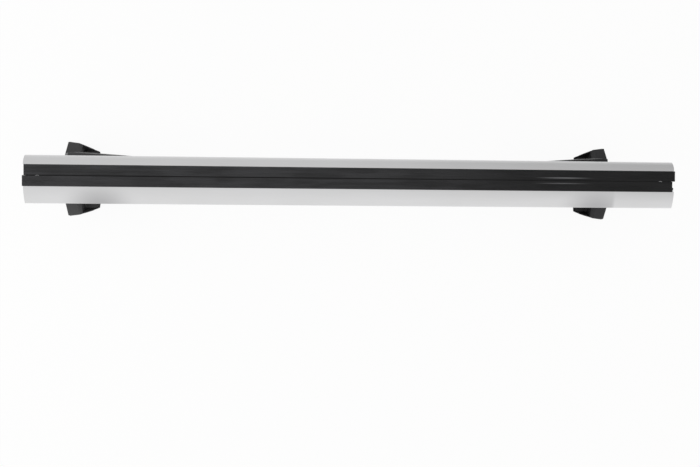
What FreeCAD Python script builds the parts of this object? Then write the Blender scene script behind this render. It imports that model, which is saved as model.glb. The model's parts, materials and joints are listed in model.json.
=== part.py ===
import FreeCAD, Part
import math
import os

# Roof rack crossbar: a hollow aluminium wing on two moulded feet, as it stands on a car's roof.
# Millimetres. X runs along the bar, Y across it (+Y is the short, blunt side), Z is up.
# The origin is at the middle of the bar's length, in the plane of its channels, level with the soles.
Vector = FreeCAD.Vector

# Wing profile, measured from the channels' plane and from the wing's widest plane
BAR_LENGTH = 1100.0
LEAD_WIDTH = 34.2
TRAIL_WIDTH = 45.8
CROWN = 9.8
SKIN = 1.9
LEAD_NOSE_R = 4.8
LEAD_ROOT_DROP = 6.8
TRAIL_EDGE_R = 3.0
TRAIL_ROOT_DROP = 7.6
TRAIL_CROWN_TILT = 7.0
BASE_HALF = 16.5
BASE_DROP = 11.8

# Top channel with the ledge that the rubber strips lie on
SEAT_HALF = 18.0
SEAT_DEPTH = 2.4
TOP_SLOT_HALF = 10.5
TOP_LIP = 2.0
TOP_CAVITY_HALF = 14.0
TOP_CAVITY = 4.8
WEB = 1.8

# Bottom channel that the feet are clamped to
LOW_SLOT_HALF = 6.4
LOW_LIP = 2.0
LOW_CAVITY_HALF = 12.5
CHANNEL_WALL = 2.0
PUNCH_SIZE = 6.0
PUNCH_FROM_END = 19.0

# Rubber strips
STRIP_GAP = 0.15
STRIP_SEAT_GAP = 0.05
STRIP_SIDE_GAP = 0.15
STRIP_THICK = 2.15
RIB_COUNT = 7
RIB_WIDTH = 1.1
RIB_SLANT = 0.2
RIB_HEIGHT = 0.7
RIB_MARGIN = 0.9
STRIP_LEG = 3.0
STRIP_LEG_GAP = 0.2
STRIP_BARB = 1.9
STRIP_BARB_THICK = 1.8
STRIP_OUT = 1.6
REAR_STRIP_SHORT = 1.0
FRONT_STRIP_SHORT = 3.0

# Feet: where they stand, and the saddle under the wing
PLANE_HEIGHT = 94.0
LEFT_TIP_FROM_END = 185.0
RIGHT_TIP_FROM_END = 230.0
SADDLE_GAP = 0.3
RIM_BELOW_PLANE = 5.0
DECK = 3.0
WALL = 3.2

# Foot from the side: each run goes outward from the neck's inboard tip
TIP_THICK = 2.2
FOLD_RUN = 7.5
FOLD_BELOW_DECK = 7.4
NECK_RUN = 64.7
NECK_SLOPE = 0.43
NECK_BLEND = 9.0
FLANK_RUN = 21.2
HEEL_RADIUS = 2.5
SOLE_RUN = 28.1
TOE_RUN = 9.5
TOE_RISE = 6.5
TOE_RADIUS = 37.2
LIP_RUN = 12.5
LIP_RISE = 2.5
LIP_THICK = 3.0
FACE_BACK = 5.1
EAR_TIP_HEIGHT = 20.0
EAR_ROOT_RISE = 25.2
TOWER_LEAN_RUN = 20.0

# Neck and tower from above: half widths
TIP_HALF = 19.6
NECK_HALF_AT_FOLD = 37.6
NECK_FLARE = 0.0576
TOWER_WIDE_BACK = 28.4
TOWER_CORNER_CUT = 4.0
TOWER_CORNER_HALF = 41.4
TOWER_EDGE_HALF = 38.9
EAR_ROOT_HALF = 40.4
DRAFT_FROM = 58.8
DRAFT = 0.115

# Flared ears beside the tower, with their pockets
EAR_TIP_HALF = 65.6
EAR_SIDE_RISE = 8.6
EAR_SIDE_LEAN = 1.2
EAR_ROUND = 3.0
EAR_INNER_BACK = 16.1
EAR_INNER_HALF = 63.4
EAR_INNER_HEIGHT = 20.0
EAR_INNER_SIDE_RISE = 1.5
EAR_INNER_SIDE_LEAN = 0.2
EAR_INNER_ROOT_HEIGHT = 34.0
EAR_SINK = 2.0
ROOT_SINK = 0.5
POCKET_BACK = 20.8
POCKET_ROOT_HEIGHT = 22.0
POCKET_START = 0.8
POCKET_FLOOR = 2.0
POCKET_SPARE = 4.0
RIM_HALF = 61.5
RIM_HEIGHT = 18.5
RIM_LOW_RUN = 4.9
RIM_LOW_HEIGHT = 3.0
RIM_SPANS = 4
RIM_SIDE_RISE = 0.5
RIM_SIDE_LEAN = 0.4
CORNER_BACK = 2.3
CORNER_HALF = 50.0
CORNER_HEIGHT = 6.0
GUSSET_RUN = 4.6
GUSSET_HEIGHT = 18.5
SOLE_HALF = 51.3
SOLE_TUCK = 0.3
TOE_FLARE = 2.4
TOE_SINK = 1.0
LIP_HALF = 58.3
SKIN_WALL = 1.8

# Side facets under the neck
FACET_FOLD_HALF = 29.5
FACET_KNEE_HALF = 33.0
FACET_CLIMB = 7.0

# Lip slots, and the opening that the vehicle's clamp passes through
SLOT_OUTER = 53.0
SLOT_INNER = 31.8
SLOT_WIDTH = 4.2
SLOT_DEPTH = 6.0
OPENING_HALF = 17.0
OPENING_TOP = 40.0
BOLT_HOLE_R = 6.0
BOLT_OVER_TOE = 3.0
BOLT_RISE = 45.0

# Service hatch under the neck
HATCH_HALF = 16.2
HATCH_BEFORE_KNEE = 2.2
HATCH_IN = 2.0
HATCH_THICK = 1.8
HATCH_GAP = 0.35
HATCH_LEDGE = 2.4
TIP_NOTCH_HALF = 5.2
TIP_NOTCH_DEPTH = 6.0
SNAP_LEG_BACK = 14.0
SNAP_LEG_LENGTH = 8.0
SNAP_LEG_THICK = 1.4
SNAP_LEG_REACH = 2.0
SNAP_LEG_GAP = 0.3

# Steel bracket inside the foot
BRACKET_SHEET = 3.0
BRACKET_HALF = 16.5
BRACKET_IN = 16.0
BRACKET_CLEAR = 0.4
CHEEK_BEFORE_KNEE = 10.0
CHEEK_SLANT = 14.0
RIB_CLEAR = 0.4
RIB_WALL = 2.5
RIB_SPARE = 3.0

# Barrel nut that the vehicle's clamp bolt screws into
NUT_R = 8.0
NUT_PROUD = 1.1
NUT_FIT = 0.06
NUT_THREAD_R = 3.4
NUT_FROM_MOUTH = 32.5
NUT_SLOT = 1.2
NUT_SLOT_DEPTH = 1.5

# Channel plate, clamp screws and washers
PLATE_HALF = 10.0
PLATE_THICK = 4.0
PLATE_MARGIN = 11.0
SCREW_FIRST = 30.0
SCREW_PITCH = 30.0
SCREW_R = 3.0
SCREW_FIT = 0.05
SCREW_CLEAR = 0.4
SCREW_PAST_PLATE = 1.85
SCREW_HEAD_R = 5.25
SCREW_HEAD = 3.3
SCREW_SOCKET_FLATS = 4.0
SCREW_SOCKET_DEPTH = 2.0
WASHER_R = 6.25
WASHER_THICK = 1.6
WASHER_BORE_GAP = 0.25
CONTACT = 0.02
PLATE_GAP = 0.05

# How far a construction body reaches past the face that trims it
OVER = 1.0

# Levels and places that follow from the sizes above
BASE_Z = PLANE_HEIGHT - BASE_DROP
DECK_TOP = BASE_Z - SADDLE_GAP
DECK_UNDER = DECK_TOP - DECK
RIM_Z = PLANE_HEIGHT - RIM_BELOW_PLANE
LEDGE_Z = CROWN - SEAT_DEPTH
WEB_TOP = LEDGE_Z - TOP_LIP - TOP_CAVITY
WEB_UNDER = WEB_TOP - WEB
LOW_LIP_TOP = BASE_DROP - LOW_LIP
FOLD_Z = DECK_TOP - FOLD_BELOW_DECK
TIP_Z = DECK_TOP - TIP_THICK
KNEE_X = FOLD_RUN + NECK_RUN
KNEE_Z = FOLD_Z - NECK_SLOPE * NECK_RUN
SOLE_START = KNEE_X + FLANK_RUN
FLANK_SLOPE = KNEE_Z / FLANK_RUN
SOLE_END = SOLE_START + SOLE_RUN
TOE_X = SOLE_END + TOE_RUN
LIP_X = TOE_X + LIP_RUN
FACE_X = LIP_X - FACE_BACK
EAR_ROOT_HEIGHT = EAR_TIP_HEIGHT + EAR_ROOT_RISE
TOWER_TOP_X = FACE_X - TOWER_LEAN_RUN
POCKET_X = FACE_X - POCKET_BACK
CORNER_X = SOLE_START - CORNER_BACK
GUSSET_X = CORNER_X - GUSSET_RUN
HATCH_END = KNEE_X - HATCH_BEFORE_KNEE
CHEEK_X = KNEE_X - CHEEK_BEFORE_KNEE
WEB_SHEET_TOP = DECK_UNDER - CONTACT
WEB_SHEET_LOW = WEB_SHEET_TOP - BRACKET_SHEET
HEAD_TOP = WEB_SHEET_LOW - WASHER_THICK - 2.0 * CONTACT
PLATE_LOW = PLANE_HEIGHT - LOW_LIP_TOP + PLATE_GAP
SCREW_TIP = PLATE_LOW + PLATE_THICK + SCREW_PAST_PLATE
SCREW_SPOTS = {"inner": SCREW_FIRST, "outer": SCREW_FIRST + SCREW_PITCH}
NUT_HALF = BRACKET_HALF + NUT_PROUD

# The clamp bolt's line: through the toe's upper corner, up and inboard to the barrel nut
BOLT_ANGLE = math.radians(BOLT_RISE)
BOLT_MOUTH = Vector(TOE_X, 0, TOE_RISE + BOLT_OVER_TOE)
BOLT_WAY = Vector(-math.cos(BOLT_ANGLE), 0, math.sin(BOLT_ANGLE))
NUT_CENTRE = BOLT_MOUTH + BOLT_WAY * NUT_FROM_MOUTH


def rounded(corners, radii=None):
    """Closed wire through 2-D corners, given as 3-D points; radii maps a corner's number to its round."""
    radii = radii or {}
    count = len(corners)
    entry = []
    leave = []
    middle = []
    for i, corner in enumerate(corners):
        radius = radii.get(i, 0.0)
        if not radius:
            entry.append(corner)
            leave.append(corner)
            middle.append(None)
            continue
        back = (corners[i - 1] - corner).normalize()
        ahead = (corners[(i + 1) % count] - corner).normalize()
        half = back.getAngle(ahead) / 2.0
        reach = radius / math.tan(half)
        centre = corner + (back + ahead).normalize() * (radius / math.sin(half))
        entry.append(corner + back * reach)
        leave.append(corner + ahead * reach)
        middle.append(centre + (corner - centre).normalize() * radius)
    edges = []
    for i in range(count):
        if middle[i] is not None:
            edges.append(Part.Arc(entry[i], middle[i], leave[i]).toShape())
        start = leave[i]
        stop = entry[(i + 1) % count]
        if start.distanceToPoint(stop) > 1e-6:
            edges.append(Part.makeLine(start, stop))
    return Part.Wire(edges)


def across(points, radii=None, x=0.0):
    """Wire in a plane across the bar, from (y, z) points."""
    return rounded([Vector(x, y, z) for y, z in points], radii)


def side(points, radii=None, y=0.0):
    """Wire in an upright plane along the bar, from (x, z) points."""
    return rounded([Vector(x, y, z) for x, z in points], radii)


def plan(points, radii=None, z=0.0):
    """Wire in a level plane, from (x, y) points."""
    return rounded([Vector(x, y, z) for x, y in points], radii)


def extrude_x(wire, length):
    return Part.Face(wire).extrude(Vector(length, 0, 0))


def extrude_side(points, low, high, radii=None):
    return Part.Face(side(points, radii, low)).extrude(Vector(0, high - low, 0))


def extrude_plan(points, low, high, radii=None):
    return Part.Face(plan(points, radii, low)).extrude(Vector(0, 0, high - low))


def block(x, y, z):
    """Box from (low, high) pairs."""
    corner = Vector(x[0], y[0], z[0])
    return Part.makeBox(x[1] - x[0], y[1] - y[0], z[1] - z[0], corner)


def loft(wires):
    return Part.makeLoft(wires, True, True)


def both_sides(solid):
    """The solid with its mirror image across the channels' plane."""
    return solid.fuse(solid.mirror(Vector(0, 0, 0), Vector(0, 1, 0)))


def mirrored(points):
    """Half outline from the centre line outward, closed by its mirror image."""
    return points + [(x, -y) for x, y in reversed(points)]


# Crossbar


def tangent_point(start, centre, radius, turn):
    """Where a straight line from start touches the circle, on the side that turn (+1 or -1) names."""
    dy = centre[0] - start[0]
    dz = centre[1] - start[1]
    reach = math.hypot(dy, dz)
    angle = math.atan2(dz, dy) + turn * math.asin(radius / reach)
    run = math.sqrt(reach * reach - radius * radius)
    return start[0] + run * math.cos(angle), start[1] + run * math.sin(angle)


def arc_through(*points):
    """Arc across the bar through three (y, z) points."""
    return Part.Arc(*[Vector(0, y, z) for y, z in points]).toShape()


def line_run(points):
    """Straight edges across the bar through (y, z) points."""
    spots = [Vector(0, y, z) for y, z in points]
    return [Part.makeLine(a, b) for a, b in zip(spots[:-1], spots[1:])]


def crown_arc(seat_y, edge_y, edge_r, tilt):
    """Three points of the arc from the seat's edge, where it falls by tilt, on to a rounded outer edge."""
    seat = Vector(0, seat_y, CROWN)
    edge = Vector(0, edge_y, 0)
    normal = Vector(0, math.copysign(math.sin(tilt), seat_y), math.cos(tilt))
    apart = seat - edge
    crown_r = (apart.dot(apart) - edge_r ** 2) / (2.0 * (normal.dot(apart) - edge_r))
    centre = seat - normal * crown_r
    touch = edge + (edge - centre).normalize() * edge_r
    half_way = centre + (seat + touch - centre * 2.0).normalize() * crown_r
    return [(point.y, point.z) for point in (seat, half_way, touch)]


def wing_outline(open_channels):
    """Section of the wing with its channels, or closed across them, around its widest plane."""
    nose_y = LEAD_WIDTH - LEAD_NOSE_R
    tail_y = TRAIL_EDGE_R - TRAIL_WIDTH
    lead_top = crown_arc(SEAT_HALF, nose_y, LEAD_NOSE_R, 0.0)
    trail_top = crown_arc(-SEAT_HALF, tail_y, TRAIL_EDGE_R, math.radians(TRAIL_CROWN_TILT))
    lead_low = tangent_point((BASE_HALF, -LEAD_ROOT_DROP), (nose_y, 0.0), LEAD_NOSE_R, -1.0)
    tail_low = tangent_point((-BASE_HALF, -TRAIL_ROOT_DROP), (tail_y, 0.0), TRAIL_EDGE_R, 1.0)
    low = -BASE_DROP
    under = [lead_low, (BASE_HALF, -LEAD_ROOT_DROP), (BASE_HALF, low)]
    over = [(-SEAT_HALF, CROWN)]
    if open_channels:
        inner = -LOW_LIP_TOP
        cavity_top = LEDGE_Z - TOP_LIP
        under += [
            (LOW_SLOT_HALF, low),
            (LOW_SLOT_HALF, inner),
            (LOW_CAVITY_HALF, inner),
            (LOW_CAVITY_HALF, WEB_UNDER),
            (-LOW_CAVITY_HALF, WEB_UNDER),
            (-LOW_CAVITY_HALF, inner),
            (-LOW_SLOT_HALF, inner),
            (-LOW_SLOT_HALF, low),
        ]
        over += [
            (-SEAT_HALF, LEDGE_Z),
            (-TOP_SLOT_HALF, LEDGE_Z),
            (-TOP_SLOT_HALF, cavity_top),
            (-TOP_CAVITY_HALF, cavity_top),
            (-TOP_CAVITY_HALF, WEB_TOP),
            (TOP_CAVITY_HALF, WEB_TOP),
            (TOP_CAVITY_HALF, cavity_top),
            (TOP_SLOT_HALF, cavity_top),
            (TOP_SLOT_HALF, LEDGE_Z),
            (SEAT_HALF, LEDGE_Z),
        ]
    under += [(-BASE_HALF, low), (-BASE_HALF, -TRAIL_ROOT_DROP), tail_low]
    over.append((SEAT_HALF, CROWN))
    edges = [arc_through(*lead_top), arc_through(lead_top[-1], (LEAD_WIDTH, 0.0), lead_low)]
    edges += line_run(under)
    edges += [arc_through(tail_low, (-TRAIL_WIDTH, 0.0), trail_top[-1]), arc_through(*reversed(trail_top))]
    edges += line_run(over)
    wire = Part.Wire(edges)
    wire.translate(Vector(0, 0, PLANE_HEIGHT))
    return wire


def wing_hollows():
    """The two closed hollows beside the channels, one skin in from the outer face."""
    wall = TOP_CAVITY_HALF + CHANNEL_WALL
    seat = SEAT_HALF + CHANNEL_WALL
    seat_z = LEDGE_Z - 0.5 * CHANNEL_WALL
    half = [(seat, CROWN + 1.0), (seat, seat_z), (wall, seat_z - seat + wall), (wall, -BASE_DROP - 1.0)]
    core = [(y, z + PLANE_HEIGHT) for y, z in half + [(-y, z) for y, z in reversed(half)]]
    inside = Part.Face(wing_outline(False)).makeOffset2D(-SKIN)
    inside = inside.extrude(Vector(BAR_LENGTH, 0, 0))
    return inside.cut(extrude_x(across(core), BAR_LENGTH))


def crossbar_extrusion():
    bar = extrude_x(wing_outline(True), BAR_LENGTH).cut(wing_hollows())
    bar.translate(Vector(-BAR_LENGTH / 2.0, 0, 0))
    half = PUNCH_SIZE / 2.0
    low = PLANE_HEIGHT + WEB_UNDER - 1.0
    for end in (-1.0, 1.0):
        x = end * (BAR_LENGTH / 2.0 - PUNCH_FROM_END)
        bar = bar.cut(block((x - half, x + half), (-half, half), (low, low + WEB + 2.0)))
    return bar


def rubber_strip(rear):
    """Ribbed strip on one side of the top slot, with a leg that hooks under the channel's lip."""
    low = LEDGE_Z + STRIP_SEAT_GAP
    top = low + STRIP_THICK
    edge = SEAT_HALF - STRIP_SIDE_GAP
    pitch = (edge - STRIP_GAP - 2.0 * RIB_MARGIN - RIB_WIDTH) / (RIB_COUNT - 1)
    points = [(STRIP_GAP, low), (STRIP_GAP, top)]
    for i in range(RIB_COUNT):
        start = STRIP_GAP + RIB_MARGIN + i * pitch
        points += [
            (start, top),
            (start + RIB_SLANT, top + RIB_HEIGHT),
            (start + RIB_WIDTH - RIB_SLANT, top + RIB_HEIGHT),
            (start + RIB_WIDTH, top),
        ]
    leg_out = TOP_SLOT_HALF - STRIP_LEG_GAP
    barb_top = LEDGE_Z - TOP_LIP - STRIP_SEAT_GAP
    barb_low = barb_top - STRIP_BARB_THICK
    points += [
        (edge, top),
        (edge, low),
        (leg_out, low),
        (leg_out, barb_top),
        (leg_out + STRIP_BARB, barb_top),
        (leg_out, barb_low),
        (leg_out - STRIP_LEG, barb_low),
        (leg_out - STRIP_LEG, low),
    ]
    sign = 1.0 if rear else -1.0
    half_length = BAR_LENGTH / 2.0
    start = REAR_STRIP_SHORT - half_length if rear else -half_length - STRIP_OUT
    end = half_length + STRIP_OUT if rear else half_length - FRONT_STRIP_SHORT
    section = across([(sign * y, z + PLANE_HEIGHT) for y, z in points], x=start)
    return extrude_x(section, end - start)


# Foot, modelled as the right-hand one with its inboard tip at x = 0


def neck_half(x):
    """Half width of the neck and tower at a distance from the tip."""
    return NECK_HALF_AT_FOLD + NECK_FLARE * (x - FOLD_RUN)


def neck_under(x):
    """Height of the neck's gentle underside."""
    return FOLD_Z - NECK_SLOPE * (x - FOLD_RUN)


def toe_under(x):
    """Height of the lip's underside, outward of the curved toe."""
    return TOE_RISE + LIP_RISE * (x - TOE_X) / LIP_RUN


def body_face():
    """Foot seen along Y, without its lip: neck, flank, sole, curved toe and outer face."""
    tip_slope = (TIP_Z - FOLD_Z) / FOLD_RUN
    points = [
        (-OVER, RIM_Z),
        (-OVER, TIP_Z + OVER * tip_slope),
        (FOLD_RUN, FOLD_Z),
        (KNEE_X, KNEE_Z),
        (SOLE_START, 0.0),
        (SOLE_END, 0.0),
        (TOE_X, TOE_RISE),
        (FACE_X, toe_under(FACE_X)),
        (FACE_X, EAR_ROOT_HEIGHT),
        (TOWER_TOP_X, RIM_Z),
    ]
    return Part.Face(side(points, {3: NECK_BLEND, 4: HEEL_RADIUS, 5: TOE_RADIUS}))


def body_slab(inset=0.0):
    """The side outline moved inward by inset, extruded across the whole foot."""
    face = body_face()
    if inset:
        face = face.makeOffset2D(-inset)
    face.translate(Vector(0, -EAR_TIP_HALF - 1.0, 0))
    return face.extrude(Vector(0, 2.0 * EAR_TIP_HALF + 2.0, 0))


def tower(inset=0.0):
    """Neck and tower from above, inset from their side walls: straight below and drafted above."""
    wide_x = FACE_X - TOWER_WIDE_BACK
    gain = NECK_HALF_AT_FOLD - TIP_HALF
    tip = [
        (0.0, TIP_HALF),
        (0.25 * FOLD_RUN, TIP_HALF + 0.42 * gain),
        (0.58 * FOLD_RUN, TIP_HALF + 0.78 * gain),
        (FOLD_RUN, NECK_HALF_AT_FOLD),
    ]
    if inset:
        tip = [(FOLD_RUN + inset, neck_half(FOLD_RUN + inset) - inset)]
    half = tip + [
        (wide_x, neck_half(wide_x) - inset),
        (FACE_X - TOWER_CORNER_CUT - inset, TOWER_CORNER_HALF - inset),
        (FACE_X + OVER, TOWER_EDGE_HALF - inset),
    ]
    high = RIM_Z + OVER
    narrow = DRAFT * (high - DRAFT_FROM)
    top = [(x, y - narrow) for x, y in half]
    lower = extrude_plan(mirrored(half), -OVER, DRAFT_FROM)
    upper = loft([plan(mirrored(half), z=DRAFT_FROM), plan(mirrored(top), z=high)])
    return lower.fuse(upper)


def facet_cutters(inset=0.0):
    """Wedges off the neck's lower edges: wide at the tip, closing to nothing at the heel."""
    stations = [
        (-1.0, FACET_FOLD_HALF - 1.0, TIP_Z, FACET_CLIMB),
        (FOLD_RUN, FACET_FOLD_HALF, FOLD_Z, FACET_CLIMB),
        (KNEE_X, FACET_KNEE_HALF, KNEE_Z, FACET_CLIMB + 1.0),
        (KNEE_X + 0.28 * FLANK_RUN, FACET_KNEE_HALF + 3.4, 0.72 * KNEE_Z, FACET_CLIMB),
        (SOLE_START - 1.0, neck_half(SOLE_START) - 0.2, FLANK_SLOPE, 0.6),
    ]
    wires = []
    for x, crease, under, climb in stations:
        inner = crease - 1.5 * inset
        outer = neck_half(x) + 1.0
        side_z = under + climb * (outer - inner) / (neck_half(x) - crease)
        if inset:
            side_z = under + climb + (inset + 1.0) * climb / (neck_half(x) - crease)
        wires.append(across([(inner, under), (outer, side_z), (outer, under - 14.0)], x=x))
    return both_sides(loft(wires))


def ring_section(x, points, radii=None):
    """Half section of the flare at a distance from the tip, doubled across the centre."""
    last = 2 * len(points) - 1
    rounds = {i: r for n, r in (radii or {}).items() for i in (n, last - n)}
    return across(points + [(-y, z) for y, z in reversed(points)], rounds, x)


def ear_edge(tip, side_rise, side_lean, root):
    """Tip, shoulder and sloping top of an ear, the top carried on into the tower so that they meet."""
    shoulder = (tip[0] - side_lean, tip[1] + side_rise)
    rise = (root[1] - shoulder[1]) / (shoulder[0] - root[0])
    return [tip, shoulder, (root[0] - EAR_SINK, root[1] + EAR_SINK * rise)]


def along_rim(x, start, end):
    """A size that changes evenly from the flare's inboard corner to the ear."""
    return start + (x - CORNER_X) * (end - start) / (POCKET_X - CORNER_X)


def rim_half(x):
    return along_rim(x, CORNER_HALF, RIM_HALF)


def sole_half(x):
    return along_rim(x, CORNER_HALF, SOLE_HALF) - SOLE_TUCK


def rim_stations():
    """Places and heights of the rim: highest at the ear, and lowest just outward of its corner."""
    low_x = CORNER_X + RIM_LOW_RUN
    stations = [(CORNER_X, CORNER_HEIGHT)]
    for i in range(RIM_SPANS + 1):
        share = i / RIM_SPANS
        height = RIM_LOW_HEIGHT + (RIM_HEIGHT - RIM_LOW_HEIGHT) * share * share
        stations.append((low_x + share * (POCKET_X - low_x), height))
    return stations


def skirt():
    """Flared skirt from a gusset on the flank to the ears, before its pockets are cut."""
    root = neck_half(GUSSET_X) - ROOT_SINK
    sections = [ring_section(GUSSET_X, [(root, -OVER), (root, GUSSET_HEIGHT)])]
    for x, height in rim_stations():
        sections.append(ring_section(x, [(sole_half(x), -OVER), (rim_half(x), height)]))
    return loft(sections)


def ears():
    """Pair of ears: low beside the pockets, with an upright side that grows toward the outer face."""
    near_root = neck_half(POCKET_X) - ROOT_SINK
    toe = [(SOLE_HALF + TOE_FLARE, TOE_RISE - TOE_SINK)]
    root = (near_root, POCKET_ROOT_HEIGHT)
    start = ear_edge((RIM_HALF, RIM_HEIGHT), RIM_SIDE_RISE, RIM_SIDE_LEAN, root)
    tip = (EAR_INNER_HALF, EAR_INNER_HEIGHT)
    root = (near_root, EAR_INNER_ROOT_HEIGHT)
    inner = ear_edge(tip, EAR_INNER_SIDE_RISE, EAR_INNER_SIDE_LEAN, root)
    tip = (EAR_TIP_HALF, EAR_TIP_HEIGHT)
    root = (EAR_ROOT_HALF, EAR_ROOT_HEIGHT)
    face = ear_edge(tip, EAR_SIDE_RISE, EAR_SIDE_LEAN, root)
    body = loft([
        ring_section(POCKET_X, [(sole_half(POCKET_X), -OVER)] + start),
        ring_section(FACE_X - EAR_INNER_BACK, [(SOLE_HALF, -OVER)] + inner),
        ring_section(FACE_X, toe + face),
        ring_section(FACE_X + OVER, toe + face),
    ])
    # The shoulder is round at the outer face, and sharp where the ear is thin
    low = -2.0 * OVER
    side_low = EAR_TIP_HALF + (EAR_TIP_HEIGHT - low) * EAR_SIDE_LEAN / EAR_SIDE_RISE
    shaped = ring_section(POCKET_X - OVER, [(side_low, low)] + face[1:], {1: EAR_ROUND})
    return body.common(extrude_x(shaped, FACE_X - POCKET_X + 3.0 * OVER))


def lip():
    """Lip that the vehicle's pad clips on to, from just inside the outer face."""
    start = FACE_X - OVER
    top = toe_under(LIP_X) + LIP_THICK
    profile = [
        (start, toe_under(start)),
        (LIP_X, toe_under(LIP_X)),
        (LIP_X, top),
        (FACE_X, EAR_TIP_HEIGHT),
        (start, EAR_TIP_HEIGHT - OVER),
    ]
    face = [(SOLE_HALF + TOE_FLARE, TOE_RISE - TOE_SINK), (EAR_TIP_HALF, EAR_TIP_HEIGHT)]
    wedge = loft([
        ring_section(start, [(y - ROOT_SINK, z) for y, z in face]),
        ring_section(FACE_X, face),
        ring_section(LIP_X + OVER, [(LIP_HALF, TOE_RISE), (LIP_HALF, top)]),
    ])
    return extrude_side(profile, -EAR_TIP_HALF - 1.0, EAR_TIP_HALF + 1.0).common(wedge)


def lip_slot(y):
    """Round-ended slot through the lip, open at its outer edge."""
    radius = SLOT_WIDTH / 2.0
    centre = LIP_X - SLOT_DEPTH + radius
    slot = block((centre, LIP_X + 1.0), (y - radius, y + radius), (0.0, EAR_TIP_HEIGHT))
    return slot.fuse(Part.makeCylinder(radius, EAR_TIP_HEIGHT, Vector(centre, y, 0)))


def pocket(sign):
    """Hollow between the tower and the skirt's skin, open upward."""
    top = max(RIM_HEIGHT, GUSSET_HEIGHT) + POCKET_SPARE
    start = GUSSET_X + 1.5 * SKIN_WALL
    near = neck_half(start) + POCKET_START
    sections = [(start, [(near, POCKET_FLOOR), (near, GUSSET_HEIGHT), (near, top)])]
    for x, height in rim_stations():
        out = rim_half(x) - SKIN_WALL
        lean = (rim_half(x) - sole_half(x)) / height
        low = min(out, sole_half(x) + lean * POCKET_FLOOR - SKIN_WALL)
        x = max(x, CORNER_X + SKIN_WALL)
        sections.append((x, [(low, POCKET_FLOOR), (out, height), (out, top)]))
    wires = []
    for x, points in sections:
        outline = [(TIP_HALF, POCKET_FLOOR)] + points + [(TIP_HALF, top)]
        wires.append(across([(sign * y, z) for y, z in outline], x=x))
    return loft(wires).common(body_slab(SKIN_WALL)).cut(tower())


def ear_hollow(sign):
    """Inside of one ear, open to the tower's hollow."""
    start = POCKET_X + WALL
    end = FACE_X - WALL
    root = TOWER_EDGE_HALF - 2.0 * WALL
    floor = TOE_RISE + 1.5 * WALL
    near = [
        (root, 1.2 * WALL),
        (SOLE_HALF - WALL, 1.2 * WALL),
        (EAR_INNER_HALF - 1.7 * WALL, EAR_INNER_HEIGHT - 0.5 * WALL),
        (root + 2.0, EAR_INNER_ROOT_HEIGHT - 1.5 * WALL),
    ]
    far = [
        (root, floor),
        (SOLE_HALF - 0.2 * WALL, floor),
        (EAR_TIP_HALF - 1.8 * WALL, EAR_TIP_HEIGHT + 0.5 * EAR_SIDE_RISE),
        (root + 2.0, EAR_ROOT_HEIGHT - 2.5 * WALL),
    ]
    return loft([across([(sign * y, z) for y, z in half], x=x) for x, half in ((start, near), (end, far))])


def foot_hollow():
    """Inside of the neck and tower, one wall in from outside and under the saddle's deck."""
    room = body_slab(WALL).common(tower(WALL)).cut(facet_cutters(WALL))
    far = LIP_X
    high = RIM_Z + 1.0
    beside = BASE_HALF + SADDLE_GAP + WALL
    ceiling = PLANE_HEIGHT - TRAIL_ROOT_DROP - SADDLE_GAP - WALL
    room = room.cut(block((0.0, far), (-beside, beside), (DECK_UNDER, high)))
    room = room.cut(block((0.0, far), (-EAR_TIP_HALF, EAR_TIP_HALF), (ceiling, high)))
    back = OPENING_HALF + WALL
    return room.cut(block((TOE_X - WALL, far), (-back, back), (0.0, OPENING_TOP + WALL)))


def locating_rib(sign):
    """Upright rib on the sole, beside a cheek of the bracket, that keeps the barrel nut in."""
    near = sign * (NUT_HALF + RIB_CLEAR)
    far = near + sign * RIB_WALL
    reach = NUT_R + RIB_SPARE
    x = NUT_CENTRE.x
    return block((x - reach, x + reach), sorted((near, far)), (0.5 * WALL, NUT_CENTRE.z + NUT_R))


def hatch_body(gap, below=0.0, top_gap=0.0):
    """Bent strip along the neck's underside and over the fold, its edges grown by gap."""
    rise = HATCH_THICK * math.hypot(1.0, NECK_SLOPE)
    tip_slope = (TIP_Z - FOLD_Z) / FOLD_RUN
    tip_rise = HATCH_THICK * math.hypot(1.0, tip_slope)
    bend = (tip_rise - rise) / (tip_slope - NECK_SLOPE)
    start = HATCH_IN - gap
    end = HATCH_END + gap
    tip_under = TIP_Z - tip_slope * start
    points = [
        (start, tip_under - below),
        (FOLD_RUN, FOLD_Z - below),
        (end, neck_under(end) - below),
        (end, neck_under(end) + rise - top_gap),
        (FOLD_RUN + bend, neck_under(FOLD_RUN + bend) + rise - top_gap),
        (start, tip_under + tip_rise - top_gap),
    ]
    half = HATCH_HALF + gap
    return extrude_side(points, -half, half)


def hatch_hole():
    """Way in through the neck's wall, inside the ledge that the hatch lies on."""
    half = HATCH_HALF - HATCH_LEDGE
    start = FOLD_RUN + WALL
    end = HATCH_END - HATCH_LEDGE
    points = [
        (start, neck_under(start) - 6.0),
        (end, neck_under(end) - 6.0),
        (end, neck_under(end) + 3.0 * WALL),
        (start, DECK_UNDER),
    ]
    return extrude_side(points, -half, half)


def tip_notch():
    """Notch through the tip, in line with the bar's bottom channel."""
    return block((-1.0, TIP_NOTCH_DEPTH), (-TIP_NOTCH_HALF, TIP_NOTCH_HALF), (FOLD_Z - 5.0, BASE_Z))


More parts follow.
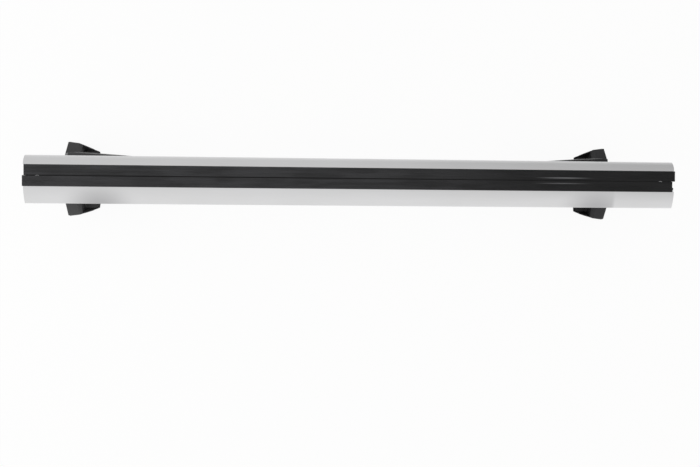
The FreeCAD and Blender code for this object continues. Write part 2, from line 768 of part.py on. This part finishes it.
def foot_shell():
    shell = tower().cut(facet_cutters()).fuse(skirt()).fuse(ears())
    shell = shell.common(body_slab()).fuse(lip())
    for sign in (-1.0, 1.0):
        shell = shell.cut(pocket(sign))
    shell = shell.cut(foot_hollow())
    for sign in (-1.0, 1.0):
        shell = shell.cut(ear_hollow(sign)).fuse(locating_rib(sign))
    # Saddle that follows the wing
    wing = Part.Face(wing_outline(False)).makeOffset2D(SADDLE_GAP)
    wing.translate(Vector(-1.0, 0, 0))
    shell = shell.cut(wing.extrude(Vector(LIP_X + 2.0, 0, 0)))
    # Slots in the lip, the opening for the vehicle's clamp and the bolt's hole in the toe
    for y in (-SLOT_OUTER, -SLOT_INNER, SLOT_INNER, SLOT_OUTER):
        shell = shell.cut(lip_slot(y))
    shell = shell.cut(block((TOE_X, LIP_X + 1.0), (-OPENING_HALF, OPENING_HALF), (-1.0, OPENING_TOP)))
    shell = shell.cut(Part.makeCylinder(BOLT_HOLE_R, NUT_FROM_MOUTH, BOLT_MOUTH - BOLT_WAY * NUT_R, BOLT_WAY))
    # Seat and hole for the hatch, notch and screw holes
    shell = shell.cut(hatch_body(HATCH_GAP, below=6.0)).cut(hatch_hole()).cut(tip_notch())
    for x in SCREW_SPOTS.values():
        shell = shell.cut(screw_hole(x, DECK_UNDER, DECK))
    return shell.removeSplitter()


def screw_hole(x, low, thick):
    """Clearance hole for a clamp screw through a sheet."""
    return Part.makeCylinder(SCREW_R + SCREW_CLEAR, thick + 2.0, Vector(x, 0, low - 1.0))


def foot_hatch():
    """Cover under the neck, with two snap legs that reach past the ledge."""
    hatch = hatch_body(0.0, top_gap=CONTACT)
    inner = HATCH_HALF - HATCH_LEDGE - SNAP_LEG_GAP
    start = HATCH_END - SNAP_LEG_BACK - SNAP_LEG_LENGTH
    end = start + SNAP_LEG_LENGTH
    sunk = 0.5 * HATCH_THICK
    top = neck_under(start) + HATCH_THICK + WALL + SNAP_LEG_REACH
    leg = [(start, neck_under(start) + sunk), (end, neck_under(end) + sunk), (end, top), (start, top)]
    for sign in (-1.0, 1.0):
        low, high = sorted((sign * inner, sign * (inner - SNAP_LEG_THICK)))
        hatch = hatch.fuse(extrude_side(leg, low, high))
    return hatch.cut(tip_notch()).removeSplitter()


def foot_bracket():
    """Folded steel channel: a web under the deck and two cheeks down to the sole."""
    far = TOE_X - WALL - BRACKET_CLEAR
    window = [
        (CHEEK_X - CHEEK_SLANT, WEB_SHEET_TOP),
        (CHEEK_X - CHEEK_SLANT, WEB_SHEET_LOW),
        (CHEEK_X, WEB_SHEET_LOW - CHEEK_SLANT),
        (CHEEK_X, 0.0),
        (far, 0.0),
        (far, WEB_SHEET_TOP),
    ]
    inside = BRACKET_HALF - BRACKET_SHEET
    cheeks = extrude_side(window, -BRACKET_HALF, BRACKET_HALF).common(body_slab(WALL + BRACKET_CLEAR))
    cheeks = cheeks.cut(block((0.0, far), (-inside, inside), (0.0, WEB_SHEET_LOW)))
    web_far = TOWER_TOP_X - WALL - 2.0
    web = block((BRACKET_IN, web_far), (-BRACKET_HALF, BRACKET_HALF), (WEB_SHEET_LOW, WEB_SHEET_TOP))
    bracket = cheeks.fuse(web.common(body_slab(WALL + BRACKET_CLEAR)))
    across_bar = NUT_CENTRE - Vector(0, 2.0 * BRACKET_HALF, 0)
    bracket = bracket.cut(Part.makeCylinder(NUT_R + NUT_FIT, 4.0 * BRACKET_HALF, across_bar, Vector(0, 1, 0)))
    for x in SCREW_SPOTS.values():
        bracket = bracket.cut(screw_hole(x, WEB_SHEET_LOW, BRACKET_SHEET))
    return bracket.removeSplitter()


def barrel_nut():
    """Cross dowel with a threaded hole on the bolt's line and a screwdriver slot in one end."""
    start = NUT_CENTRE - Vector(0, NUT_HALF, 0)
    nut = Part.makeCylinder(NUT_R, 2.0 * NUT_HALF, start, Vector(0, 1, 0))
    nut = nut.cut(Part.makeCylinder(NUT_THREAD_R, 4.0 * NUT_R, NUT_CENTRE - BOLT_WAY * 2.0 * NUT_R, BOLT_WAY))
    slot = Part.makeBox(2.0 * NUT_R + 2.0, NUT_SLOT_DEPTH + 1.0, NUT_SLOT)
    slot.translate(NUT_CENTRE + Vector(-NUT_R - 1.0, NUT_HALF - NUT_SLOT_DEPTH, -0.5 * NUT_SLOT))
    slot.rotate(NUT_CENTRE, Vector(0, 1, 0), BOLT_RISE)
    return nut.cut(slot)


def channel_plate():
    """Flat steel plate in the bar's bottom channel, with a threaded hole for each clamp screw."""
    spots = SCREW_SPOTS.values()
    length = (min(spots) - PLATE_MARGIN, max(spots) + PLATE_MARGIN)
    plate = block(length, (-PLATE_HALF, PLATE_HALF), (PLATE_LOW, PLATE_LOW + PLATE_THICK))
    for x in spots:
        start = Vector(x, 0, PLATE_LOW - 1.0)
        plate = plate.cut(Part.makeCylinder(SCREW_R + SCREW_FIT, PLATE_THICK + 2.0, start))
    return plate


def washer(x):
    low = Vector(x, 0, HEAD_TOP + CONTACT)
    ring = Part.makeCylinder(WASHER_R, WASHER_THICK, low)
    return ring.cut(Part.makeCylinder(SCREW_R + WASHER_BORE_GAP, WASHER_THICK, low))


def clamp_screw(x):
    """Button-head screw from below, with a hexagon socket."""
    low = HEAD_TOP - SCREW_HEAD
    chamfer = 0.2 * SCREW_R
    outline = [
        (0.0, low),
        (0.52 * SCREW_HEAD_R, low),
        (SCREW_HEAD_R, HEAD_TOP - 0.15 * SCREW_HEAD),
        (SCREW_HEAD_R, HEAD_TOP),
        (SCREW_R, HEAD_TOP),
        (SCREW_R, SCREW_TIP - chamfer),
        (SCREW_R - chamfer, SCREW_TIP),
        (0.0, SCREW_TIP),
    ]
    screw = Part.Face(side(outline)).revolve(Vector(0, 0, 0), Vector(0, 0, 1), 360.0)
    corner = SCREW_SOCKET_FLATS / math.sqrt(3.0)
    turns = [math.radians(60.0 * i) for i in range(6)]
    socket = [(corner * math.cos(t), corner * math.sin(t)) for t in turns]
    screw = screw.cut(extrude_plan(socket, low - 1.0, low + SCREW_SOCKET_DEPTH))
    screw.translate(Vector(x, 0, 0))
    return screw


def foot_parts():
    parts = {
        "foot_shell": foot_shell(),
        "foot_hatch": foot_hatch(),
        "foot_bracket": foot_bracket(),
        "barrel_nut": barrel_nut(),
        "channel_plate": channel_plate(),
    }
    for label, x in SCREW_SPOTS.items():
        parts[label + "_clamp_screw"] = clamp_screw(x)
        parts[label + "_washer"] = washer(x)
    return parts


def main():
    os.makedirs("parts", exist_ok=True)
    pieces = {
        "crossbar_extrusion": crossbar_extrusion(),
        "rubber_strip_front": rubber_strip(False),
        "rubber_strip_rear": rubber_strip(True),
    }
    right_tip = BAR_LENGTH / 2.0 - RIGHT_TIP_FROM_END
    left_tip = LEFT_TIP_FROM_END - BAR_LENGTH / 2.0
    for name, shape in foot_parts().items():
        pieces["right_" + name] = shape.translated(Vector(right_tip, 0, 0))
        flipped = shape.mirror(Vector(0, 0, 0), Vector(1, 0, 0))
        pieces["left_" + name] = flipped.translated(Vector(left_tip, 0, 0))
    for name, shape in sorted(pieces.items()):
        shape.exportStep("parts/" + name + ".step")
        state = "valid" if shape.isValid() else "INVALID"
        print(name, len(shape.Solids), "solid", state, round(shape.Volume / 1000.0, 2), "cm3")


main()
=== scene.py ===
import json
import math

import bmesh
import bpy
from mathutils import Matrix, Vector
from mathutils.kdtree import KDTree


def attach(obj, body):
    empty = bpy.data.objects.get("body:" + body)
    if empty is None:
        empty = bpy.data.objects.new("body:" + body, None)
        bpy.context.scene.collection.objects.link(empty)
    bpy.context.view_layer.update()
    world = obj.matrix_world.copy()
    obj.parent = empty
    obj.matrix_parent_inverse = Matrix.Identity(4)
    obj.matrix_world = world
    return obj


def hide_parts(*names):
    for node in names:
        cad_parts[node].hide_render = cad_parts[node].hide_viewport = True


# Roof rack crossbar: materials, softened edges, floor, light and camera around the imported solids.
# Metres. X runs along the bar, Y across it, Z is up.

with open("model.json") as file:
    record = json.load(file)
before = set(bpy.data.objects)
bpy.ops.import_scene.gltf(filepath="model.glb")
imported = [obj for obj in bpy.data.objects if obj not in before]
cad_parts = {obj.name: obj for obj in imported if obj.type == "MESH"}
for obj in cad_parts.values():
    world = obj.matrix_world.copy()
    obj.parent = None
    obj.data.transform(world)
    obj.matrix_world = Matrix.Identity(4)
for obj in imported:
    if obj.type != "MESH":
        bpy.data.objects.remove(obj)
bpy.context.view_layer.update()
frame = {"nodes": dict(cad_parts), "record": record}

MM = 0.001
RECORD = frame["record"]
SLOT_OF = {part["node"]: part["material_slot"] for part in RECORD["subparts"]}
BODY_OF = {node: body for body, nodes in RECORD["behaviour"]["bodies"].items() for node in nodes}

# Radius of the softened edges of each kind of piece
SOFT_EDGES = {
    "crossbar_extrusion": 0.4 * MM,
    "rubber_strip": 0.25 * MM,
    "foot_shell": 0.8 * MM,
    "foot_hatch": 0.6 * MM,
    "foot_bracket": 0.8 * MM,
    "barrel_nut": 0.4 * MM,
    "channel_plate": 0.5 * MM,
    "clamp_screw": 0.15 * MM,
    "washer": 0.25 * MM,
}
ROUND_SEGMENTS = 2
SOFTEN_TRIES = 8

# Corners this close are welded and edges this short are taken out before the softening.
WELD = 0.3 * MM
TINY_EDGE = 0.01 * MM

# Angles between the two faces of an edge
FLAT_WITHIN = math.radians(1.0)
SHARP_OVER = math.radians(30.0)
FOLDED_OVER = math.radians(95.0)
SMOOTH_UNDER = math.radians(35.0)

# A fold is put down to one of the edge ends nearest to it. They may be farther off than the very
# nearest by this share of the radius.
FOLD_ENDS = 6
FOLD_SLACK = 0.3

# Centres and half sizes of painted dark reflections on the bar and painted glints on its strips,
# read from the photo
DARK_REFLECTION_LEFT = (-0.43, -0.047, 0.09)
DARK_REFLECTION_LEFT_SIZE = (0.07, 0.042, 0.05)
DARK_REFLECTION_RIGHT = (0.415, -0.047, 0.09)
DARK_REFLECTION_RIGHT_SIZE = (0.075, 0.042, 0.05)
GLINT_REAR = (0.355, 0.0045, 0.104)
GLINT_REAR_SIZE = (0.06, 1.8 * MM, 0.02)
GLINT_FRONT = (0.352, -0.005, 0.104)
GLINT_FRONT_SIZE = (0.06, 1.6 * MM, 0.02)
GLINT_FRONT_SHARE = 0.6

# Where the painted light and shade in the materials start and end: along the bar, beside its
# middle, or upward
DARK_REFLECTION_RIGHT_STOP = (0.449, 0.441)
STRIPS_LIGHT_FALLOFF = (-0.05, 0.4)
FEET_LIGHT_FALLOFF = (-0.3, 0.3)
TOP_CHANNEL_SIDE = (14.4 * MM, 14.2 * MM)
TOP_CHANNEL_FLOOR = (94.0 * MM, 94.4 * MM)
STRIP_GAP_SHADE = (1.3 * MM, 0.7 * MM)
# The same for the upward part of the direction that a face looks in
UPPER_SKIN = (0.0, 0.3)
# Spacing of the ribs on the rubber strips
RIB_PITCH = 2.5 * MM

# Brightness of the room in different directions, where 1 is white, and where it changes
ROOM_FRONT = 1.0
ROOM_ABOVE = 0.77
ROOM_RIGHT = 0.5
TOWARD_FRONT = (0.05, -0.6)
TOWARD_RIGHT = (0.08, 0.42)

# The floor, and the share of plain white in what is seen of it
FLOOR_HALF = 6.0
FLOOR_DROP = 0.2 * MM
FLOOR_GLOW = 0.93

# The one lamp, a soft box on the left
LAMP_PLACE = Vector((-1.35, -0.1, 0.5))
LAMP_TARGET = Vector((-0.45, 0.0, 0.05))
LAMP_WIDTH = 0.9
LAMP_HEIGHT = 0.7
LAMP_WATTS = 3.0

# The photograph's camera, fitted to the outlines of the bars. Sensor and lens are in millimetres.
CAMERA_PLACE = (-0.07669, -0.08013, 1.2276)
CAMERA_DEGREES = (-0.66971, -3.28249, 0.35661)
CAMERA_SENSOR = 36.0
CAMERA_LENS = 34.3263


# Nodes and patterns


def linear_colour(text):
    """Linear colour from an sRGB hex value."""
    channels = [int(text[i:i + 2], 16) / 255.0 for i in (1, 3, 5)]
    linear = [c / 12.92 if c <= 0.04045 else ((c + 0.055) / 1.055) ** 2.4 for c in channels]
    return (*linear, 1.0)


def add(tree, kind, inputs=None, **settings):
    """A new node with its settings. Each input is a value, a hex colour, a socket or a node."""
    node = tree.nodes.new("ShaderNode" + kind)
    for name, value in settings.items():
        setattr(node, name, value)
    for name, value in (inputs or {}).items():
        if isinstance(value, bpy.types.Node):
            # A node stands for the first of its outputs that is in use.
            value = next(output for output in value.outputs if output.enabled)
        if isinstance(value, bpy.types.NodeSocket):
            tree.links.new(value, node.inputs[name])
        elif isinstance(value, str):
            node.inputs[name].default_value = linear_colour(value)
        else:
            node.inputs[name].default_value = value
    return node


def streaks(tree, place, along, across, detail=2.0):
    """Noise drawn out along the bar, from the spacing of its marks along and across, in metres."""
    scale = (1.0 / along, 1.0 / across, 1.0 / across)
    at = add(tree, "Mapping", {"Vector": place, "Scale": scale})
    return add(tree, "TexNoise", {"Vector": at, "Scale": 1.0, "Detail": detail}).outputs["Fac"]


def patch(tree, place, centre, size):
    """Soft-edged mask, from 1 in the middle of an oval of the given half sizes to 0 at its rim."""
    scale = tuple(1.0 / s for s in size)
    shift = tuple(-c / s for c, s in zip(centre, size))
    at = add(tree, "Mapping", {"Vector": place, "Scale": scale, "Location": shift})
    far = add(tree, "VectorMath", {0: at}, operation="LENGTH")
    change = {"Value": far, "From Min": 1.0, "From Max": 0.0}
    return add(tree, "MapRange", change, interpolation_type="SMOOTHSTEP")


def fade(tree, vector, axis, ends, easing="SMOOTHSTEP"):
    """Mask that goes from 0 to 1 between two values on one axis of a vector."""
    axes = add(tree, "SeparateXYZ", {"Vector": vector})
    change = {"Value": axes.outputs[axis], "From Min": ends[0], "From Max": ends[1]}
    return add(tree, "MapRange", change, interpolation_type=easing)


def new_material(name):
    """An empty material and its tree."""
    material = bpy.data.materials.new(name)
    material.use_nodes = True
    material.node_tree.nodes.clear()
    return material, material.node_tree


# Materials


def anodised_aluminium():
    """Extruded 6063 alloy, etched matt and anodised clear: satin silver with faint die lines."""
    material, tree = new_material("satin_anodised_aluminium")
    place = add(tree, "TexCoord").outputs["Object"]
    facing = add(tree, "NewGeometry").outputs["True Normal"]

    # Die lines run the bar's whole length. Real ones lie 0.1 to 0.3 mm apart. They are drawn 1.6 mm
    # apart to show.
    lines = streaks(tree, place, 0.8, 1.6 * MM)
    # The etch leaves soft clouds a hand's width long and a thumb's width across.
    clouds = streaks(tree, place, 0.11, 0.03, 3.0)
    tint = add(tree, "Mix", {"Factor": clouds, "A": "#D9D9D9", "B": "#E2E2E3"}, data_type="RGBA")

    # The photo shows a darker cloud on the trailing band over each foot, painted here as dark
    # reflections.
    # Both are kept to the upper skin, and the right one stops at a straight line.
    reflection_left = patch(tree, place, DARK_REFLECTION_LEFT, DARK_REFLECTION_LEFT_SIZE)
    reflection_right = patch(tree, place, DARK_REFLECTION_RIGHT, DARK_REFLECTION_RIGHT_SIZE)
    stop = fade(tree, place, "X", DARK_REFLECTION_RIGHT_STOP)
    stopped = add(tree, "Math", {0: reflection_right, 1: stop}, operation="MULTIPLY")
    both = add(tree, "Math", {0: reflection_left, 1: stopped}, operation="ADD")
    upper = fade(tree, facing, "Z", UPPER_SKIN)
    dark_reflection = add(tree, "Math", {0: both, 1: upper}, operation="MULTIPLY")
    tint = add(tree, "Mix", {"Factor": dark_reflection, "A": tint, "B": "#B5B5B6"}, data_type="RGBA")

    # Painted shade: the top channel's inside is drawn dark, because the photo has a dark line
    # between the strips.
    aside = add(tree, "VectorMath", {0: place}, operation="ABSOLUTE")
    between = fade(tree, aside, "Y", TOP_CHANNEL_SIDE)
    above = fade(tree, place, "Z", TOP_CHANNEL_FLOOR)
    painted_channel_shade = add(tree, "Math", {0: between, 1: above}, operation="MULTIPLY")
    tint = add(tree, "Mix", {"Factor": painted_channel_shade, "A": tint, "B": "#3C3C3B"}, data_type="RGBA")

    # A saw cut leaves the end faces coarser and greyer than the etched skin. Its marks lie 0.9 mm
    # apart at this scale.
    sideways = add(tree, "SeparateXYZ", {"Vector": facing}).outputs["X"]
    end_face = add(tree, "Math", {0: sideways, 1: 2.0}, operation="POWER")
    cut = {"Vector": place, "Scale": 0.35 / MM, "Distortion": 1.5}
    saw = add(tree, "TexWave", cut, bands_direction="Y").outputs["Fac"]
    tint = add(tree, "Mix", {"Factor": end_face, "A": tint, "B": "#B2B2B1"}, data_type="RGBA")
    etched = add(tree, "MapRange", {"Value": lines, "To Min": 0.34, "To Max": 0.42})
    sawn = add(tree, "MapRange", {"Value": saw, "To Min": 0.28, "To Max": 0.5})
    rough = add(tree, "Mix", {"Factor": end_face, "A": etched, "B": sawn})
    marks = add(tree, "Mix", {"Factor": end_face, "A": lines, "B": saw})
    bump = add(tree, "Bump", {"Height": marks, "Strength": 0.06, "Distance": 0.2 * MM})
    shader = add(tree, "BsdfPrincipled", {
        "Base Color": tint,
        "Metallic": 1.0,
        "Roughness": rough,
        "Normal": bump,
    })
    add(tree, "OutputMaterial", {"Surface": shader})
    return material


def strip_rubber():
    """Extruded EPDM rubber: near black, with long duller and glossier streaks along its ribs."""
    material, tree = new_material("extruded_epdm_rubber")
    place = add(tree, "TexCoord").outputs["Object"]

    # Bloom comes in streaks some ribs wide.
    wide = {"Value": streaks(tree, place, 0.07, 0.012, 4.0), "From Min": 0.35, "From Max": 0.65}
    bloom = add(tree, "MapRange", wide, interpolation_type="SMOOTHSTEP")
    # Rib after rib is glossier or duller for a hand's width at a time.
    narrow = {"Value": streaks(tree, place, 0.14, RIB_PITCH), "From Min": 0.3, "From Max": 0.7}
    dull = add(tree, "MapRange", narrow, interpolation_type="SMOOTHSTEP")
    marks = add(tree, "Mix", {"Factor": 0.5, "A": bloom, "B": dull})

    # Painted light: as in the photo, the strips are greyer in their left half, where more light
    # falls, than in the right one.
    lit_left_tone = add(tree, "Mix", {"Factor": marks, "A": "#272728", "B": "#404042"}, data_type="RGBA")
    shaded_right_tone = add(tree, "Mix", {"Factor": marks, "A": "#0D0D0E", "B": "#1E1E1F"}, data_type="RGBA")
    right = fade(tree, place, "X", STRIPS_LIGHT_FALLOFF)
    tint = add(tree, "Mix", {"Factor": right, "A": lit_left_tone, "B": shaded_right_tone}, data_type="RGBA")

    # Painted shade: the two edges that face each other across the middle gap are blacker.
    aside = add(tree, "VectorMath", {0: place}, operation="ABSOLUTE")
    edge = fade(tree, aside, "Y", STRIP_GAP_SHADE)
    tint = add(tree, "Mix", {"Factor": edge, "A": tint, "B": "#0C0C0D"}, data_type="RGBA")

    # Painted highlight: two ribs beside the middle gap are pale with glints of light inboard of the
    # right foot.
    glint_rear = patch(tree, place, GLINT_REAR, GLINT_REAR_SIZE)
    front = patch(tree, place, GLINT_FRONT, GLINT_FRONT_SIZE)
    glints = {0: front, 1: GLINT_FRONT_SHARE, 2: glint_rear}
    painted_glint = add(tree, "Math", glints, operation="MULTIPLY_ADD")
    tint = add(tree, "Mix", {"Factor": painted_glint, "A": tint, "B": "#78787A"}, data_type="RGBA")

    # Rubber's skin is finer than 0.1 mm. It is drawn at 0.8 mm to show.
    skin = add(tree, "TexNoise", {"Vector": place, "Scale": 1.0 / (0.8 * MM), "Detail": 2.0})
    rough = add(tree, "MapRange", {"Value": dull, "To Min": 0.5, "To Max": 0.72})
    bump = add(tree, "Bump", {
        "Height": skin.outputs["Fac"],
        "Strength": 0.04,
        "Distance": 0.05 * MM,
    })
    shader = add(tree, "BsdfPrincipled", {
        "Base Color": tint,
        "Roughness": rough,
        "Specular IOR Level": 0.35,
        "Normal": bump,
    })
    add(tree, "OutputMaterial", {"Surface": shader})
    return material


def foot_plastic():
    """Glass-filled nylon from a spark-eroded mould: charcoal, matt, with a fine even grain."""
    material, tree = new_material("textured_glass_filled_nylon")
    place = add(tree, "TexCoord").outputs["Object"]

    # The grain is 0.2 to 0.3 mm across, drawn at 0.7 mm to show.
    fine = {"Vector": place, "Scale": 1.0 / (0.7 * MM), "Detail": 3.0, "Roughness": 0.6}
    grain = add(tree, "TexNoise", fine).outputs["Fac"]
    # Flow of the melt: very faint differences in gloss and tone, about 36 mm wide.
    wide = {"Vector": place, "Scale": 28.0, "Detail": 2.0, "Distortion": 0.6}
    flow = add(tree, "TexNoise", wide).outputs["Fac"]

    # Painted light: as in the photo, the left foot is greyer than the right one, where less light
    # falls.
    lit_left_tone = add(tree, "Mix", {"Factor": flow, "A": "#3E3E3F", "B": "#49494A"}, data_type="RGBA")
    shaded_right_tone = add(tree, "Mix", {"Factor": flow, "A": "#18181A", "B": "#212123"}, data_type="RGBA")
    right = fade(tree, place, "X", FEET_LIGHT_FALLOFF)
    tint = add(tree, "Mix", {"Factor": right, "A": lit_left_tone, "B": shaded_right_tone}, data_type="RGBA")

    rough = add(tree, "MapRange", {"Value": flow, "To Min": 0.46, "To Max": 0.58})
    bump = add(tree, "Bump", {"Height": grain, "Strength": 0.25, "Distance": 0.12 * MM})
    shader = add(tree, "BsdfPrincipled", {
        "Base Color": tint,
        "Roughness": rough,
        "Specular IOR Level": 0.42,
        "Normal": bump,
    })
    add(tree, "OutputMaterial", {"Surface": shader})
    return material


def zinc_steel():
    """Folded and turned steel, zinc plated and passivated: grey-blue, cloudy, half bright."""
    material, tree = new_material("zinc_plated_steel")
    place = add(tree, "TexCoord").outputs["Object"]
    # The plating's clouds are about 6 mm across.
    cloudy = {"Vector": place, "Scale": 1.0 / (6.0 * MM), "Detail": 3.0, "Roughness": 0.55}
    clouds = add(tree, "TexNoise", cloudy).outputs["Fac"]
    tint = add(tree, "Mix", {"Factor": clouds, "A": "#AEB1B5", "B": "#C9CCCF"}, data_type="RGBA")
    rough = add(tree, "MapRange", {"Value": clouds, "To Min": 0.3, "To Max": 0.46})
    bump = add(tree, "Bump", {"Height": clouds, "Strength": 0.08, "Distance": 0.1 * MM})
    shader = add(tree, "BsdfPrincipled", {
        "Base Color": tint,
        "Metallic": 1.0,
        "Roughness": rough,
        "Normal": bump,
    })
    add(tree, "OutputMaterial", {"Surface": shader})
    return material


def screw_steel():
    """Cold-formed stainless steel: brighter than the zinc, with a faint drawn grain."""
    material, tree = new_material("stainless_screw_steel")
    place = add(tree, "TexCoord").outputs["Object"]
    # The grain is finer than 0.1 mm. It is drawn about 1.1 mm wide and 11 mm long to show.
    at = add(tree, "Mapping", {"Vector": place, "Scale": (900.0, 900.0, 90.0)})
    drawn = add(tree, "TexNoise", {"Vector": at, "Scale": 1.0, "Detail": 2.0}).outputs["Fac"]
    tint = add(tree, "Mix", {"Factor": drawn, "A": "#B9B8B6", "B": "#CFCECC"}, data_type="RGBA")
    rough = add(tree, "MapRange", {"Value": drawn, "To Min": 0.22, "To Max": 0.34})
    shader = add(tree, "BsdfPrincipled", {
        "Base Color": tint,
        "Metallic": 1.0,
        "Roughness": rough,
    })
    add(tree, "OutputMaterial", {"Surface": shader})
    return material


FINISHES = {
    "anodised_aluminium": anodised_aluminium(),
    "strip_rubber": strip_rubber(),
    "foot_plastic": foot_plastic(),
    "zinc_steel": zinc_steel(),
    "screw_steel": screw_steel(),
}


# Pieces


def dress(piece, slot):
    """Gives a piece the one finish of its material slot."""
    piece.data.materials.clear()
    piece.data.materials.append(FINISHES[slot])


def whole_faces(mesh):
    """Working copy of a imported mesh, its loose triangles welded into whole flat faces."""
    bm = bmesh.new()
    bm.from_mesh(mesh)
    bmesh.ops.remove_doubles(bm, verts=bm.verts, dist=WELD)
    bmesh.ops.dissolve_degenerate(bm, edges=bm.edges, dist=TINY_EDGE)
    bmesh.ops.dissolve_limit(
        bm, angle_limit=FLAT_WITHIN, verts=bm.verts, edges=bm.edges, delimit=set())
    bm.edges.index_update()
    return bm


def steeper(edge, angle):
    """Whether two faces meet at the edge, and at more than the angle."""
    return edge.is_manifold and edge.calc_face_angle() > angle


def folds(bm, rounds):
    """Middles of the edges where new round faces double back over their neighbours."""
    rounds = set(rounds)
    return [
        (edge.verts[0].co + edge.verts[1].co) / 2.0
        for edge in bm.edges
        if steeper(edge, FOLDED_OVER) and not rounds.isdisjoint(edge.link_faces)
    ]


def softened(mesh, radius):
    """The mesh with rounded edges, apart from those too short or too crowded for the round."""
    skipped = set()
    for _ in range(SOFTEN_TRIES):
        bm = whole_faces(mesh)
        edges = [e for e in bm.edges if steeper(e, SHARP_OVER) and e.index not in skipped]
        ends = KDTree(2 * len(edges))
        known = []
        for edge in edges:
            for corner in edge.verts:
                ends.insert(corner.co, len(known))
                known.append((edge.calc_length(), edge.index))
        ends.balance()
        made = bmesh.ops.bevel(
            bm, geom=edges, offset=radius, offset_type="OFFSET", affect="EDGES",
            segments=ROUND_SEGMENTS, profile=0.5, material=-1, clamp_overlap=False)
        folded = folds(bm, made["faces"])
        if not folded:
            break
        # In the next try the shortest edge that ends near each fold stays sharp.
        for spot in folded:
            near = ends.find_n(spot, FOLD_ENDS)
            reach = near[0][2] + FOLD_SLACK * radius
            skipped.add(min(known[i] for _, i, distance in near if distance < reach)[1])
    return bm


def soft_copy(node, radius):
    """A piece of the node's form with softened edges, which stands for the node."""
    bm = softened(frame["nodes"][node].data, radius)
    for face in bm.faces:
        face.smooth = True
    for edge in bm.edges:
        edge.smooth = edge.is_manifold and edge.calc_face_angle() < SMOOTH_UNDER
    mesh = bpy.data.meshes.new(node + "_soft")
    bm.to_mesh(mesh)
    bm.free()
    if "custom_normal" in mesh.attributes:
        mesh.attributes.remove(mesh.attributes["custom_normal"])
    piece = bpy.data.objects.new(node + "_soft", mesh)
    bpy.context.scene.collection.objects.link(piece)
    shading = piece.modifiers.new("even_shading", "WEIGHTED_NORMAL")
    shading.keep_sharp = True
    dress(piece, SLOT_OF[node])
    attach(piece, BODY_OF[node])
    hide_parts(node)


for node in SLOT_OF:
    dress(frame["nodes"][node], SLOT_OF[node])
    soft_copy(node, next(radius for kind, radius in SOFT_EDGES.items() if kind in node))


# Floor, light and camera


def studio_floor():
    """Pale matt floor, seen as white with the object's soft shadow on it."""
    material, tree = new_material("studio_floor_paper")
    path = add(tree, "LightPath").outputs
    direct = {0: path["Is Camera Ray"], 1: path["Is Glossy Ray"]}
    seen = add(tree, "Math", direct, operation="MAXIMUM")
    seen = add(tree, "Math", {0: seen, 1: path["Is Transmission Ray"]}, operation="MAXIMUM")
    share = add(tree, "Math", {0: seen, 1: FLOOR_GLOW}, operation="MULTIPLY")
    paper = add(tree, "BsdfDiffuse", {"Color": "#F4F4F2"})
    white = add(tree, "Emission", {"Color": "#FFFFFF", "Strength": 1.0})
    shader = add(tree, "MixShader", {0: share, 1: paper, 2: white})
    add(tree, "OutputMaterial", {"Surface": shader})
    return material


def build_floor():
    """Floor just below the soles, so that no two faces lie in one plane."""
    bm = bmesh.new()
    made = bmesh.ops.create_grid(bm, x_segments=1, y_segments=1, size=FLOOR_HALF)
    bmesh.ops.translate(bm, verts=made["verts"], vec=(0.0, 0.0, -FLOOR_DROP))
    mesh = bpy.data.meshes.new("floor")
    bm.to_mesh(mesh)
    bm.free()
    floor = bpy.data.objects.new("floor", mesh)
    bpy.context.scene.collection.objects.link(floor)
    mesh.materials.append(studio_floor())


def left_softbox():
    """Large soft lamp, which isn't mirrored because the wing's bands would vanish in it."""
    lamp = bpy.data.lights.new("left_softbox", "AREA")
    lamp.shape = "RECTANGLE"
    lamp.size = LAMP_WIDTH
    lamp.size_y = LAMP_HEIGHT
    lamp.energy = LAMP_WATTS
    box = bpy.data.objects.new("left_softbox", lamp)
    box.location = LAMP_PLACE
    box.rotation_euler = (LAMP_TARGET - LAMP_PLACE).to_track_quat("-Z", "Y").to_euler()
    box.visible_glossy = False
    bpy.context.scene.collection.objects.link(box)


def room_light():
    """Pale room, brightest in front and dimmest above to the right. The camera sees pure white."""
    world = bpy.data.worlds.new("studio_room")
    world.use_nodes = True
    tree = world.node_tree
    tree.nodes.clear()
    way = add(tree, "TexCoord").outputs["Generated"]
    right = fade(tree, way, "X", TOWARD_RIGHT)
    above = add(tree, "Mix", {"Factor": right, "A": ROOM_ABOVE, "B": ROOM_RIGHT})
    front = fade(tree, way, "Y", TOWARD_FRONT, easing="LINEAR")
    light = add(tree, "Mix", {"Factor": front, "A": above, "B": ROOM_FRONT})
    room = add(tree, "Background", {"Color": "#FFFFFF", "Strength": light})
    white = add(tree, "Background", {"Color": "#FFFFFF", "Strength": 1.0})
    seen = add(tree, "LightPath").outputs["Is Camera Ray"]
    shown = add(tree, "MixShader", {0: seen, 1: room, 2: white})
    add(tree, "OutputWorld", {"Surface": shown})
    bpy.context.scene.world = world


def photo_camera():
    """Camera at the photograph's angle: nearly straight down on the bar, left of its middle."""
    data = bpy.data.cameras.new("photo_camera")
    data.sensor_width = CAMERA_SENSOR
    data.lens = CAMERA_LENS
    camera = bpy.data.objects.new("photo_camera", data)
    camera.location = CAMERA_PLACE
    camera.rotation_euler = [math.radians(angle) for angle in CAMERA_DEGREES]
    bpy.context.scene.collection.objects.link(camera)
    bpy.context.scene.camera = camera


build_floor()
room_light()
left_softbox()
photo_camera()
bpy.context.scene.view_settings.view_transform = "Standard"
